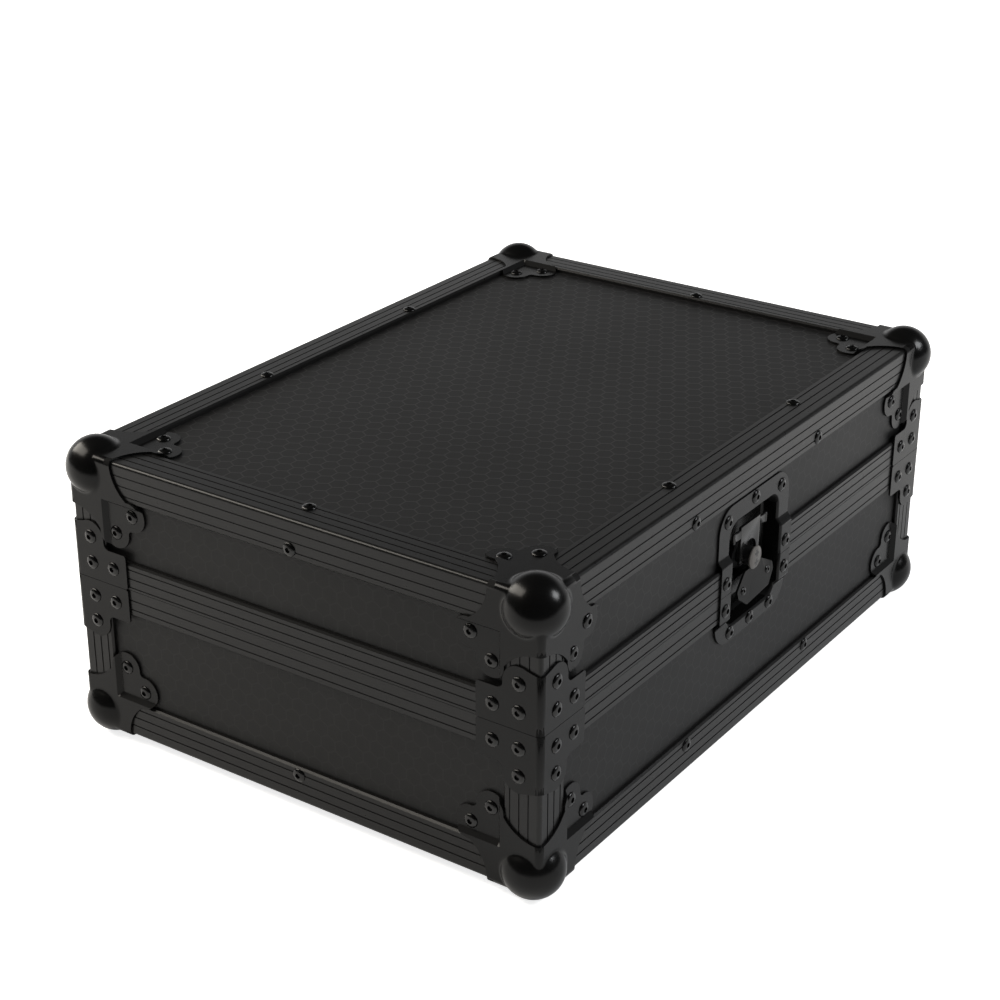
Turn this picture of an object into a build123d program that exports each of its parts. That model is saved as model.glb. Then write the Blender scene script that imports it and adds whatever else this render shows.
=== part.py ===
from build123d import *
import math
import os

os.makedirs("parts", exist_ok=True)

# A flight case for a CD player: laminated board panels held in grooved aluminium extrusions, pressed
# ball corners, tongue-and-groove seam, one recessed butterfly latch, two back hinges, an end handle.
# Millimetres. X runs along the latch side, the latch faces -Y, the origin is under the middle.

# Case, measured over the outer planes of its edge extrusions
case_length = 500.0
case_depth = 359.0
case_height = 196.5
seam_height = 109.5
seam_gap = 0.3

# Board and edge extrusions
panel_thickness = 7.0
leg_width = 25.5
leg_thickness = 3.2
edge_radius = 2.5
edge_bevel = 1.2
lip_width = 22.0
lip_thickness = 2.0
slot_wall = 1.8
groove_width = 1.0
groove_depth = 0.5
first_groove = 8.0
groove_pitch = 6.45
groove_count = 3
corner_relief = 6.0

# Seam extrusions
flange_height = 18.5
base_web = 6.0
lid_web = 2.5
channel_near = 4.2
channel_width = 4.8
channel_depth = 4.2
tongue_near = 5.0
tongue_width = 3.0
tongue_height = 3.5
tongue_chamfer = 0.8
base_seam_grooves = (7.0, 13.6)
lid_seam_grooves = (2.0, 8.2, 14.5)

# Pressed ball corners
ball_radius = 19.8
ball_inset = 12.0
ball_blend = 4.0
corner_sheet = 1.5
corner_reach = 36.0
corner_waist = (39.1, 13.7)
corner_shoulder = (48.3, 24.3)
corner_lobe = (49.5, 35.0)
corner_lobe_radius = 10.7
corner_valley = 3.0
joggle_wall = 1.2
joggle_slope = 40.0

# Folded braces beside the seam at each upright edge
brace_sheet = 1.3
brace_fold_height = 38.0
brace_arm_length = 43.9
brace_arm_height = 23.8
brace_end_round = 2.0
brace_lobe_radius = 11.2
brace_round = 4.0
brace_rivet_in = 14.3
brace_rivet_up = 11.8
brace_rivet_far = 32.5
brace_rivet_high = 30.0

# Rivet heads
rivet_radius = 4.75
rivet_top_radius = 2.6
rivet_height = 1.7
edge_rivet_inset = 20.0
edge_rivet_reach = 81.0

# Recessed latch, heights above the seam
latch_width = 93.0
latch_top = 59.0
latch_bottom = 39.0
latch_corner = 17.0
latch_sheet = 1.3
pocket_width = 64.0
pocket_top = 45.0
pocket_bottom = 28.5
pocket_corner = 10.0
pocket_depth = 14.0
rim_round = 1.8
floor_round = 3.0
cutout_clearance = 0.3
joggle_start = 18.9
upper_joggle_start = 21.0
joggle_run = 3.5
joggle_round = 3.0
upper_rivets = ((-35.5, 49.1), (0.0, 53.7), (35.5, 49.1), (-39.5, 8.4), (39.5, 8.4))
lower_rivets = ((-39.4, -10.8), (39.4, -10.8), (-26.6, -33.0), (0.0, -33.0), (26.6, -33.0))

# Keeper step pressed in the lower dish
keeper_half_width = 22.0
keeper_top = 0.8
keeper_height = 13.0
keeper_depth = 8.2
keeper_round = 2.0

# Turning boss of the latch
boss_height = 11.0
boss_radius = 9.0
boss_crown = 1.0
boss_neck_radius = 6.5
boss_underside = 1.0
boss_disc_clearance = 0.5
boss_disc_top = 11.5
seat_gap = 0.3
spindle_radius = 2.5
running_fit = 0.05
spindle_top = 8.0

# Folding wing and its pin
wing_pivot_depth = 5.5
wing_pin_radius = 1.25
wing_thickness = 2.0
wing_half_width = 24.0
wing_reach = 24.5
wing_corner = 9.0
wing_window_radius = 13.0
wing_ear_radius = 2.2
wing_roll_radius = 2.0
wing_slot_width = 1.6
wing_slot_height = 6.0

# Catch plate that the boss draws down over the keeper
catch_tilt = 10.0
catch_lean = 4.0
catch_thickness = 1.6
catch_offset = 2.5
catch_foot_drop = 16.5
catch_foot_proud = 2.0
catch_half_width = 24.0
catch_foot_half_width = 15.0
catch_chamfer_height = 8.0
catch_shoulder_height = 13.0
catch_top_height = 21.5
catch_top_half_width = 11.0
catch_round = 2.0
catch_notch_clearance = 0.8
catch_rivet_reach = 16.6
catch_rivet_height = 10.5
catch_rivet_radius = 2.8
catch_rivet_top = 1.6
catch_rivet_rise = 1.0

# Back hinges
hinge_reach = 140.0
hinge_width = 60.0
hinge_axis_out = 4.5
hinge_knuckle_radius = 3.2
hinge_leaf_thickness = 1.5
hinge_leaf_height = 18.0
hinge_leaf_round = 4.0
hinge_knuckles = 5
hinge_play = 0.3
hinge_pin_radius = 1.5
hinge_rivet_reach = 20.0
hinge_rivet_drop = 11.5

# Recessed handle on the right end
handle_middle = 58.2
handle_length = 124.0
handle_height = 60.0
handle_corner = 14.0
handle_pocket_length = 96.0
handle_pocket_height = 40.0
handle_pocket_corner = 6.0
handle_pocket_depth = 17.0
handle_pivot_rise = 11.5
handle_pivot_depth = 8.0
handle_pin_radius = 2.0
handle_pin_inset = 12.0
grip_half_length = 42.0
grip_drop = 20.5
grip_radius = 4.5
grip_arm_radius = 3.5
grip_eye_radius = 4.5
grip_eye_half_width = 4.0
grip_bend = 8.0
grip_sleeve_gap = 1.0
handle_rivets = ((-54.0, 22.0), (54.0, 22.0), (-54.0, -22.0), (54.0, -22.0))

# Foam lining
foam_thickness = 10.0
foam_pad_thickness = 12.0
foam_gap = 0.3
foam_seam_drop = 8.0

# Dependent sizes
half_length = case_length / 2
half_depth = case_depth / 2
ball_proud = ball_radius - ball_inset
z_bottom = ball_proud
z_top = z_bottom + case_height
z_seam = z_bottom + seam_height
panel_inner = leg_thickness + panel_thickness
lip_inner = panel_inner + lip_thickness
slot_end = panel_inner + slot_wall
foam_outer = lip_inner + foam_gap
foam_inner = foam_outer + foam_thickness + foam_gap
brace_leg_width = brace_rivet_in + brace_lobe_radius
brace_leg_height = brace_rivet_high + brace_lobe_radius

X_DIR = Vector(1, 0, 0)
Y_DIR = Vector(0, 1, 0)
Z_DIR = Vector(0, 0, 1)
MIDDLE = Plane.XY.offset((z_bottom + z_top) / 2)

# Each face of the case: its middle at the bottom plane or on the lid, its rightward and outward directions
FACES = {
    "front": (Vector(0, -half_depth, z_bottom), X_DIR, -Y_DIR),
    "back": (Vector(0, half_depth, z_bottom), -X_DIR, Y_DIR),
    "left": (Vector(-half_length, 0, z_bottom), -Y_DIR, -X_DIR),
    "right": (Vector(half_length, 0, z_bottom), Y_DIR, X_DIR),
    "top": (Vector(0, 0, z_top), X_DIR, Z_DIR),
    "bottom": (Vector(0, 0, z_bottom), X_DIR, -Z_DIR),
}
HALF_WIDTHS = {
    "front": half_length,
    "back": half_length,
    "left": half_depth,
    "right": half_depth,
}


def face_plane(face, proud=0.0, across=0.0, up=0.0):
    """A plane parallel to one face of the case, moved outwards, to the right and up."""
    origin, right, out = FACES[face]
    upward = out.cross(right)
    return Plane(origin + out * proud + right * across + upward * up, x_dir=right, z_dir=out)


def keep(part, name):
    part.label = name
    export_step(part, f"parts/{name}.step")


def copied(part, *planes):
    """The part mirrored about each plane in turn."""
    for plane in planes:
        with BuildPart() as copy:
            mirror(part, about=plane)
        part = copy.part
    return part


# Panels


def wall_panel(face, low, high, cutout=None):
    """An upright board between two heights, with the hole that a recessed dish needs."""
    with BuildPart() as panel:
        with BuildSketch(face_plane(face, -panel_inner)):
            with Locations((0, (low + high) / 2)):
                Rectangle(2 * (HALF_WIDTHS[face] - slot_end), high - low)
            if cutout:
                add(cutout, mode=Mode.SUBTRACT)
        extrude(amount=panel_thickness)
    return panel.part


def flat_panel(face):
    with BuildPart() as panel:
        with BuildSketch(face_plane(face, -panel_inner)):
            Rectangle(case_length - 2 * slot_end, case_depth - 2 * slot_end)
        extrude(amount=panel_thickness)
    return panel.part


latch_hole_margin = latch_sheet + cutout_clearance
with BuildSketch() as latch_hole:
    with Locations((0, seam_height + (pocket_top - pocket_bottom) / 2)):
        RectangleRounded(
            pocket_width + 2 * latch_hole_margin,
            pocket_top + pocket_bottom + 2 * latch_hole_margin,
            pocket_corner + latch_hole_margin,
        )

with BuildSketch() as handle_hole:
    with Locations((0, handle_middle)):
        RectangleRounded(
            handle_pocket_length + 2 * latch_hole_margin,
            handle_pocket_height + 2 * latch_hole_margin,
            handle_pocket_corner + latch_hole_margin,
        )

base_low = slot_end
base_high = seam_height - base_web
lid_low = seam_height + seam_gap + lid_web
lid_high = case_height - slot_end

keep(flat_panel("bottom"), "base_floor_panel")
keep(wall_panel("front", base_low, base_high, latch_hole.sketch), "base_front_panel")
keep(wall_panel("back", base_low, base_high), "base_back_panel")
keep(wall_panel("left", base_low, base_high), "base_left_panel")
keep(wall_panel("right", base_low, base_high, handle_hole.sketch), "base_right_panel")
keep(flat_panel("top"), "lid_top_panel")
keep(wall_panel("front", lid_low, lid_high, latch_hole.sketch), "lid_front_panel")
keep(wall_panel("back", lid_low, lid_high), "lid_back_panel")
keep(wall_panel("left", lid_low, lid_high), "lid_left_panel")
keep(wall_panel("right", lid_low, lid_high), "lid_right_panel")

# Extrusions


# Double angle: two grooved outer legs, and inner lips that hold a board in each slot.
with BuildSketch() as edge_section:
    with BuildLine():
        Polyline(
            (0, 0),
            (leg_width, 0),
            (leg_width, leg_thickness),
            (slot_end, leg_thickness),
            (slot_end, panel_inner),
            (lip_width, panel_inner),
            (lip_width, lip_inner),
            (lip_inner, lip_inner),
            (lip_inner, lip_width),
            (panel_inner, lip_width),
            (panel_inner, slot_end),
            (leg_thickness, slot_end),
            (leg_thickness, leg_width),
            (0, leg_width),
            close=True,
        )
    make_face()
    corners = vertices().sort_by_distance((0, 0))
    fillet(corners[0], radius=edge_radius)
    leg_ends = vertices().filter_by(lambda v: max(v.X, v.Y) > leg_width - 0.01 and min(v.X, v.Y) < 0.01)
    chamfer(leg_ends, length=edge_bevel)
    for index in range(groove_count):
        place = first_groove + index * groove_pitch
        with Locations((place, 0)):
            Rectangle(groove_width, 2 * groove_depth, mode=Mode.SUBTRACT)
        with Locations((0, place)):
            Rectangle(2 * groove_depth, groove_width, mode=Mode.SUBTRACT)


# Across from the outer plane and away from the seam: flange, board slot, and the lid's channel.
with BuildSketch() as base_seam_section:
    channel_far = channel_near + channel_width
    with BuildLine():
        Polyline(
            (0, 0),
            (channel_near, 0),
            (channel_near, channel_depth),
            (channel_far, channel_depth),
            (channel_far, 0),
            (lip_inner, 0),
            (lip_inner, flange_height),
            (panel_inner, flange_height),
            (panel_inner, base_web),
            (leg_thickness, base_web),
            (leg_thickness, flange_height),
            (0, flange_height),
            close=True,
        )
    make_face()
    flange_end = vertices().filter_by(lambda v: v.X < 0.01 and v.Y > flange_height - 0.01)
    chamfer(flange_end, length=edge_bevel)
    for place in base_seam_grooves:
        with Locations((0, place)):
            Rectangle(2 * groove_depth, groove_width, mode=Mode.SUBTRACT)


# The lid's seam extrusion, with the tongue that drops into the base's channel.
with BuildSketch() as lid_seam_section:
    tongue_far = tongue_near + tongue_width
    with BuildLine():
        Polyline(
            (0, 0),
            (tongue_near, 0),
            (tongue_near, tongue_chamfer - tongue_height),
            (tongue_near + tongue_chamfer, -tongue_height),
            (tongue_far - tongue_chamfer, -tongue_height),
            (tongue_far, tongue_chamfer - tongue_height),
            (tongue_far, 0),
            (lip_inner, 0),
            (lip_inner, flange_height),
            (panel_inner, flange_height),
            (panel_inner, lid_web),
            (leg_thickness, lid_web),
            (leg_thickness, flange_height),
            (0, flange_height),
            close=True,
        )
    make_face()
    flange_end = vertices().filter_by(lambda v: v.X < 0.01 and v.Y > flange_height - 0.01)
    chamfer(flange_end, length=edge_bevel)
    for place in lid_seam_grooves:
        with Locations((0, place)):
            Rectangle(2 * groove_depth, groove_width, mode=Mode.SUBTRACT)


def extrusion(section, start, first, second, length, mitres, far_end=True, relieved=False):
    """A bar whose section opens along two inward directions, mitred against its neighbours."""
    along = first.cross(second)
    ends = [(start, along)]
    if far_end:
        ends.append((start + along * length, -along))
    with BuildPart() as bar:
        with BuildSketch(Plane(start, x_dir=first, z_dir=along)):
            add(section.sketch)
        extrude(amount=length)
        for corner, inward in ends:
            for neighbour in mitres:
                split(bisect_by=Plane(corner, z_dir=inward - neighbour), keep=Keep.TOP)
            if relieved:
                diagonal = inward + first + second
                split(bisect_by=Plane(corner + diagonal * (corner_relief / 3), z_dir=diagonal), keep=Keep.TOP)
    return bar.part


def frame_bar(face, first, second, length):
    """One of the top edge bars, from the corner where its direction starts."""
    origin = FACES[face][0]
    middle = Vector(origin.X, origin.Y, z_top)
    along = first.cross(second)
    start = middle - along * (length / 2)
    return extrusion(edge_section, start, first, second, length, (first, second), relieved=True)


front_top_bar = frame_bar("front", Y_DIR, -Z_DIR, case_length)
left_top_bar = frame_bar("left", X_DIR, -Z_DIR, case_depth)
keep(front_top_bar, "lid_front_edge")
keep(copied(front_top_bar, Plane.XZ), "lid_back_edge")
keep(left_top_bar, "lid_left_edge")
keep(copied(left_top_bar, Plane.YZ), "lid_right_edge")
keep(copied(front_top_bar, MIDDLE), "base_front_edge")
keep(copied(front_top_bar, Plane.XZ, MIDDLE), "base_back_edge")
keep(copied(left_top_bar, MIDDLE), "base_left_edge")
keep(copied(left_top_bar, Plane.YZ, MIDDLE), "base_right_edge")


def upright_edges(start, first, second, length):
    """The four upright edge bars of the base or of the lid."""
    bar = extrusion(edge_section, start, first, second, length, (first, second), False, True)
    with BuildPart() as edges:
        add(bar)
        mirror(about=Plane.XZ)
        mirror(about=Plane.YZ)
    return edges.part


low_corner = Vector(-half_length, -half_depth, z_bottom)
high_corner = Vector(-half_length, -half_depth, z_top)
base_upright = seam_height - flange_height
lid_upright = case_height - seam_height - seam_gap - flange_height
keep(upright_edges(low_corner, X_DIR, Y_DIR, base_upright), "base_upright_edges")
keep(upright_edges(high_corner, Y_DIR, X_DIR, lid_upright), "lid_upright_edges")


def seam_bar(section, face, height, inward, away, length):
    """A seam extrusion, mitred at both ends and rounded like the upright edges that it meets."""
    origin = FACES[face][0]
    along = inward.cross(away)
    start = Vector(origin.X, origin.Y, height) - along * (length / 2)
    bar = extrusion(section, start, inward, away, length, (inward,))
    with BuildPart() as rounded:
        add(bar)
        with BuildSketch(Plane.XY.offset(height - flange_height)):
            RectangleRounded(case_length, case_depth, edge_radius)
        extrude(amount=2 * flange_height, mode=Mode.INTERSECT)
    return rounded.part


def with_latch_hole(bar):
    """The front seam bar with the latch dish's hole through it."""
    with BuildPart() as cut:
        add(bar)
        with BuildSketch(face_plane("front", -lip_inner - 1)):
            add(latch_hole.sketch)
        extrude(amount=lip_inner + 2, mode=Mode.SUBTRACT)
    return cut.part


lid_seam = z_seam + seam_gap
base_front_seam = seam_bar(base_seam_section, "front", z_seam, Y_DIR, -Z_DIR, case_length)
base_left_seam = seam_bar(base_seam_section, "left", z_seam, X_DIR, -Z_DIR, case_depth)
lid_front_seam = seam_bar(lid_seam_section, "front", lid_seam, Y_DIR, Z_DIR, case_length)
lid_left_seam = seam_bar(lid_seam_section, "left", lid_seam, X_DIR, Z_DIR, case_depth)
keep(with_latch_hole(base_front_seam), "base_front_seam")
keep(copied(base_front_seam, Plane.XZ), "base_back_seam")
keep(base_left_seam, "base_left_seam")
keep(copied(base_left_seam, Plane.YZ), "base_right_seam")
keep(with_latch_hole(lid_front_seam), "lid_front_seam")
keep(copied(lid_front_seam, Plane.XZ), "lid_back_seam")
keep(lid_left_seam, "lid_left_seam")
keep(copied(lid_left_seam, Plane.YZ), "lid_right_seam")

# Ball corners


# The scalloped outline on one face, from the two edges that meet at the corner.
with BuildSketch() as corner_outline:
    waist_a, waist_b = corner_waist
    shoulder_a, shoulder_b = corner_shoulder
    lobe_a, lobe_b = corner_lobe
    outside = -ball_proud - 1
    with BuildLine():
        Line((outside, outside), (corner_reach, outside))
        Line((corner_reach, outside), (corner_reach, 0))
        ThreePointArc((corner_reach, 0), (waist_a, waist_b), (shoulder_a, shoulder_b))
        Line((shoulder_a, shoulder_b), (lobe_a, lobe_b))
        Line((lobe_a, lobe_b), (lobe_b, lobe_a))
        Line((lobe_b, lobe_a), (shoulder_b, shoulder_a))
        ThreePointArc((shoulder_b, shoulder_a), (waist_b, waist_a), (0, corner_reach))
        Line((0, corner_reach), (outside, corner_reach))
        Line((outside, corner_reach), (outside, outside))
    make_face()
    with Locations((lobe_a, lobe_b), (lobe_b, lobe_a)):
        Circle(corner_lobe_radius)
    valley = vertices().sort_by(lambda v: v.X + v.Y)[-1]
    fillet(valley, radius=corner_valley)


# The tabs: the part of the outline past the extrusion legs on both sides
tab_start = leg_width + seat_gap / 2
tab_far = corner_lobe[0] + corner_lobe_radius
with BuildSketch() as tab_outline:
    add(corner_outline.sketch)
    with Locations((tab_start, tab_start)):
        Rectangle(tab_far, tab_far, align=(Align.MIN, Align.MIN), mode=Mode.INTERSECT)


def ball_corner():
    """A ball blended into three joggled and scalloped plates, round a board corner at the origin."""
    reach = tab_far
    vertex = Vector(0, 0, 0)
    inward_faces = [
        Plane(vertex, x_dir=X_DIR, z_dir=Z_DIR),
        Plane(vertex, x_dir=Z_DIR, z_dir=Y_DIR),
        Plane(vertex, x_dir=Y_DIR, z_dir=X_DIR),
    ]
    outer = Vector(-corner_sheet, -corner_sheet, -corner_sheet)
    ball_centre = Vector(ball_inset, ball_inset, ball_inset)
    pole = Vector(1, -1, 0.9).normalized()
    inside = Vector(1, 1, 1)
    ball_place = Plane(ball_centre, x_dir=inside - pole * pole.dot(inside), z_dir=pole)

    with BuildPart() as board_corner:
        with BuildSketch():
            Rectangle(reach, reach, align=(Align.MIN, Align.MIN))
        extrude(amount=reach)
        meeting = edges().filter_by(lambda e: (e.center() - vertex).length < reach / 2 + 1)
        fillet(meeting, radius=edge_radius)

    with BuildPart() as outlines:
        for plane in inward_faces:
            with BuildSketch(plane.offset(-ball_proud - 1)):
                add(corner_outline.sketch)
            extrude(amount=ball_proud + 1 + edge_radius)

    with BuildPart() as tabs:
        for plane in inward_faces:
            with BuildSketch(plane.offset(-corner_sheet)):
                add(tab_outline.sketch)
            extrude(amount=corner_sheet + leg_thickness)
            with BuildSketch(plane.offset(-corner_sheet)):
                with Locations((tab_start + joggle_wall, tab_start + joggle_wall)):
                    Rectangle(2 * tab_far, 2 * tab_far, align=(Align.MIN, Align.MIN))
            extrude(amount=leg_thickness, taper=joggle_slope, mode=Mode.SUBTRACT)

    with BuildPart() as corner:
        with BuildSketch(Plane(outer)):
            Rectangle(reach, reach, align=(Align.MIN, Align.MIN))
        extrude(amount=reach)
        meeting = edges().filter_by(lambda e: (e.center() - outer).length < reach / 2 + 1)
        fillet(meeting, radius=edge_radius + corner_sheet)
        with BuildSketch(Plane(outer)):
            Rectangle(ball_inset / 2, ball_inset / 2, align=(Align.MIN, Align.MIN))
        extrude(amount=ball_inset / 2, mode=Mode.SUBTRACT)
        with Locations(ball_place):
            Sphere(ball_radius)
        ball_edges = faces().filter_by(lambda f: f.geom_type == GeomType.SPHERE).edges()
        blend_edges = ball_edges.filter_by(lambda e: (e.center() - ball_centre).length < ball_radius + 0.01)
        blend_edges = blend_edges.filter_by(
            lambda e: not (e.geom_type == GeomType.CIRCLE and abs(e.radius - ball_radius) < 0.01)
        )
        fillet(blend_edges, radius=ball_blend)
        add(outlines.part, mode=Mode.INTERSECT)
        with Locations(ball_place):
            Sphere(ball_radius - corner_sheet, mode=Mode.SUBTRACT)
        add(board_corner.part, mode=Mode.SUBTRACT)
        for plane in inward_faces:
            with BuildSketch(plane.offset(-corner_sheet)):
                add(tab_outline.sketch)
            extrude(amount=corner_sheet, mode=Mode.SUBTRACT)
        add(tabs.part)
    return corner.part


def placed_corner(corner, side, end, closed_face):
    """The corner is alike in all three directions, so a turn alone takes it to any corner of the case."""
    inward = FACES[closed_face][2] * -1
    across, deep = X_DIR * -side, Y_DIR * -end
    vertex = Vector(side * half_length, end * half_depth, FACES[closed_face][0].Z)
    first = across if (inward.cross(across) - deep).length < 0.1 else deep
    with BuildPart() as placed:
        with Locations(Plane(vertex, x_dir=first, z_dir=inward)):
            add(corner)
    return placed.part


corner = ball_corner()
for half, closed_face in (("base", "bottom"), ("lid", "top")):
    for depth_word, end in (("front", -1), ("back", 1)):
        for side_word, side in (("left", -1), ("right", 1)):
            name = f"{half}_{depth_word}_{side_word}_ball_corner"
            keep(placed_corner(corner, side, end, closed_face), name)

# Seam braces


# From the upright edge and from the seam: a square arm along the seam and a lobed leg beside the edge.
with BuildSketch() as brace_outline:
    outside = -brace_sheet - 1
    with BuildLine():
        Polyline(
            (outside, 0),
            (brace_arm_length, 0),
            (brace_arm_length, brace_arm_height),
            (brace_leg_width, brace_arm_height),
            (brace_leg_width, brace_rivet_high),
            (brace_rivet_in, brace_rivet_high),
            (brace_rivet_in, brace_leg_height),
            (0, brace_fold_height),
            (outside, brace_fold_height),
            close=True,
        )
    make_face()
    with Locations((brace_rivet_in, brace_rivet_high)):
        Circle(brace_lobe_radius)
    fillet(vertices().group_by(Axis.X)[-1], radius=brace_end_round)
    inner = vertices().sort_by_distance((brace_leg_width, brace_arm_height))[0]
    fillet(inner, radius=brace_round)


def seam_braces(seam, up):
    """Four folded braces, one round each upright edge, on one side of the seam."""
    edge = Vector(-half_length, -half_depth, seam)
    outer = edge - Vector(brace_sheet, brace_sheet, 0)
    reach = brace_arm_length + brace_sheet
    with BuildPart() as outlines:
        for first, depth_dir in ((X_DIR, Y_DIR), (Y_DIR, X_DIR)):
            face = Plane(edge - depth_dir * (brace_sheet + 1), x_dir=first, z_dir=first.cross(up))
            with BuildSketch(face):
                add(brace_outline.sketch)
            out_amount = (brace_sheet + 1 + edge_radius) * depth_dir.dot(first.cross(up))
            extrude(amount=out_amount)
    with BuildPart() as braces:
        with BuildSketch(Plane(outer)):
            Rectangle(reach, reach, align=(Align.MIN, Align.MIN))
            fillet(vertices().sort_by_distance(outer)[0], radius=edge_radius + brace_sheet)
        extrude(amount=brace_leg_height * up.Z)
        with BuildSketch(Plane(edge)):
            Rectangle(reach, reach, align=(Align.MIN, Align.MIN))
            fillet(vertices().sort_by_distance(edge)[0], radius=edge_radius)
        extrude(amount=brace_leg_height * up.Z, mode=Mode.SUBTRACT)
        add(outlines.part, mode=Mode.INTERSECT)
        mirror(about=Plane.XZ)
        mirror(about=Plane.YZ)
    return braces.part


keep(seam_braces(z_seam, -Z_DIR), "base_seam_braces")
keep(seam_braces(lid_seam, Z_DIR), "lid_seam_braces")

# Butterfly latch


def latch_plane(proud=0.0, across=0.0, up=0.0):
    return face_plane("front", proud, across, seam_height + up)


LATCH_SIDE = Plane(Vector(0, -half_depth, z_seam), x_dir=-Y_DIR, z_dir=-X_DIR)
tab_proud = latch_sheet - leg_thickness

with BuildPart() as pressed_sheet:
    upper_end = upper_joggle_start + joggle_run
    lower_end = joggle_start + joggle_run
    with BuildSketch(LATCH_SIDE):
        with BuildLine():
            Polyline(
                (-leg_thickness, latch_top),
                (-leg_thickness, upper_end),
                (0, upper_joggle_start),
                (0, -joggle_start),
                (-leg_thickness, -lower_end),
                (-leg_thickness, -latch_bottom),
                (tab_proud, -latch_bottom),
                (tab_proud, -lower_end - latch_sheet / 2),
                (latch_sheet, -joggle_start - latch_sheet / 2),
                (latch_sheet, upper_joggle_start + latch_sheet / 2),
                (tab_proud, upper_end + latch_sheet / 2),
                (tab_proud, latch_top),
                close=True,
            )
        make_face()
        joggles = vertices().filter_by_position(Axis.Y, 1 - latch_bottom, latch_top - 1)
        fillet(joggles, radius=joggle_round)
    extrude(amount=latch_width / 2, both=True)
    with BuildSketch(latch_plane(-leg_thickness, 0, (latch_top - latch_bottom) / 2)):
        RectangleRounded(latch_width, latch_top + latch_bottom, latch_corner)
    extrude(amount=leg_thickness + latch_sheet, mode=Mode.INTERSECT)

with BuildPart() as latch_bowl:
    with BuildSketch(latch_plane(-pocket_depth - latch_sheet, 0, (pocket_top - pocket_bottom) / 2)):
        RectangleRounded(
            pocket_width + 2 * latch_sheet,
            pocket_top + pocket_bottom + 2 * latch_sheet,
            pocket_corner + latch_sheet,
        )
    extrude(amount=pocket_depth + 2 * latch_sheet)
    with BuildSketch(LATCH_SIDE):
        with BuildLine():
            Polyline(
                (tab_proud, latch_top),
                (tab_proud, upper_end + latch_sheet / 2),
                (latch_sheet, upper_joggle_start + latch_sheet / 2),
                (latch_sheet, -joggle_start - latch_sheet / 2),
                (tab_proud, -lower_end - latch_sheet / 2),
                (tab_proud, -latch_bottom),
                (-pocket_depth - latch_sheet, -latch_bottom),
                (-pocket_depth - latch_sheet, latch_top),
                close=True,
            )
        make_face()
        joggles = vertices().filter_by_position(Axis.Y, 1 - latch_bottom, latch_top - 1)
        fillet(joggles, radius=joggle_round)
    extrude(amount=latch_width / 2, both=True, mode=Mode.INTERSECT)


def in_mouth(point):
    """Whether a point is on the rim where the pocket's wall meets the outside of the sheet."""
    across, up = abs(point.X), point.Z - z_seam
    on_skin = point.Y < -half_depth - tab_proud + 0.01
    return on_skin and across < pocket_width / 2 + 0.01 and -pocket_bottom - 0.01 < up < pocket_top + 0.01


with BuildPart() as latch_dish:
    add(pressed_sheet.part)
    add(latch_bowl.part)
    with BuildSketch(latch_plane(-pocket_depth, 0, (pocket_top - pocket_bottom) / 2)):
        RectangleRounded(pocket_width, pocket_top + pocket_bottom, pocket_corner)
    extrude(amount=pocket_depth + 2 * latch_sheet, mode=Mode.SUBTRACT)
    pocket_floor = faces().filter_by(lambda f: abs(f.center().Y + half_depth - pocket_depth) < 0.01)
    fillet(pocket_floor.edges(), radius=floor_round)
    mouth = edges().filter_by(lambda e: in_mouth(e.center()))
    fillet(mouth, radius=rim_round)

with BuildPart() as latch_upper_dish:
    add(latch_dish.part)
    split(bisect_by=Plane.XY.offset(lid_seam), keep=Keep.TOP)
    with Locations(latch_plane(-pocket_depth, 0, boss_height)):
        Hole(radius=spindle_radius, depth=latch_sheet)
keep(latch_upper_dish.part, "latch_upper_dish")

with BuildPart() as latch_lower_dish:
    add(latch_dish.part)
    split(bisect_by=Plane.XY.offset(z_seam), keep=Keep.BOTTOM)
    with BuildSketch(latch_plane(-pocket_depth, 0, -keeper_top - keeper_height / 2)):
        Rectangle(2 * keeper_half_width, keeper_height)
    extrude(amount=pocket_depth - keeper_depth)
    keeper_face = faces().filter_by(lambda f: abs(f.center().Y + half_depth - keeper_depth) < 0.01)
    fillet(keeper_face.edges(), radius=keeper_round)
keep(latch_lower_dish.part, "latch_lower_dish")

BOSS_SIDE = Plane(Vector(0, -half_depth, z_seam + boss_height), x_dir=Z_DIR, z_dir=-X_DIR)
BOSS_AXIS = Axis(Vector(0, -half_depth, z_seam + boss_height), -Y_DIR)

with BuildPart() as latch_boss:
    disc_bottom = pocket_depth - seat_gap
    boss_disc_radius = boss_height - boss_disc_clearance
    crown_radius = (boss_radius**2 + boss_crown**2) / (2 * boss_crown)
    with BuildSketch(BOSS_SIDE):
        with BuildLine():
            Line((0, disc_bottom), (boss_disc_radius, disc_bottom))
            Line((boss_disc_radius, disc_bottom), (boss_disc_radius, boss_disc_top))
            Line((boss_disc_radius, boss_disc_top), (boss_neck_radius, boss_disc_top))
            Line((boss_neck_radius, boss_disc_top), (boss_neck_radius, boss_underside))
            Line((boss_neck_radius, boss_underside), (boss_radius, boss_underside))
            Line((boss_radius, boss_underside), (boss_radius, 0))
            RadiusArc((boss_radius, 0), (0, -boss_crown), crown_radius)
            Line((0, -boss_crown), (0, disc_bottom))
        make_face()
    revolve(axis=BOSS_AXIS)
    with Locations(latch_plane(-disc_bottom, 0, boss_height)):
        Cylinder(
            spindle_radius + running_fit,
            disc_bottom - spindle_top + seat_gap,
            align=(Align.CENTER, Align.CENTER, Align.MIN),
            mode=Mode.SUBTRACT,
        )
    with BuildSketch(Plane.YZ):
        with Locations((wing_pivot_depth - half_depth, z_seam + boss_height)):
            Circle(wing_pin_radius)
    extrude(amount=boss_radius, both=True, mode=Mode.SUBTRACT)
keep(latch_boss.part, "latch_boss")

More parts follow.
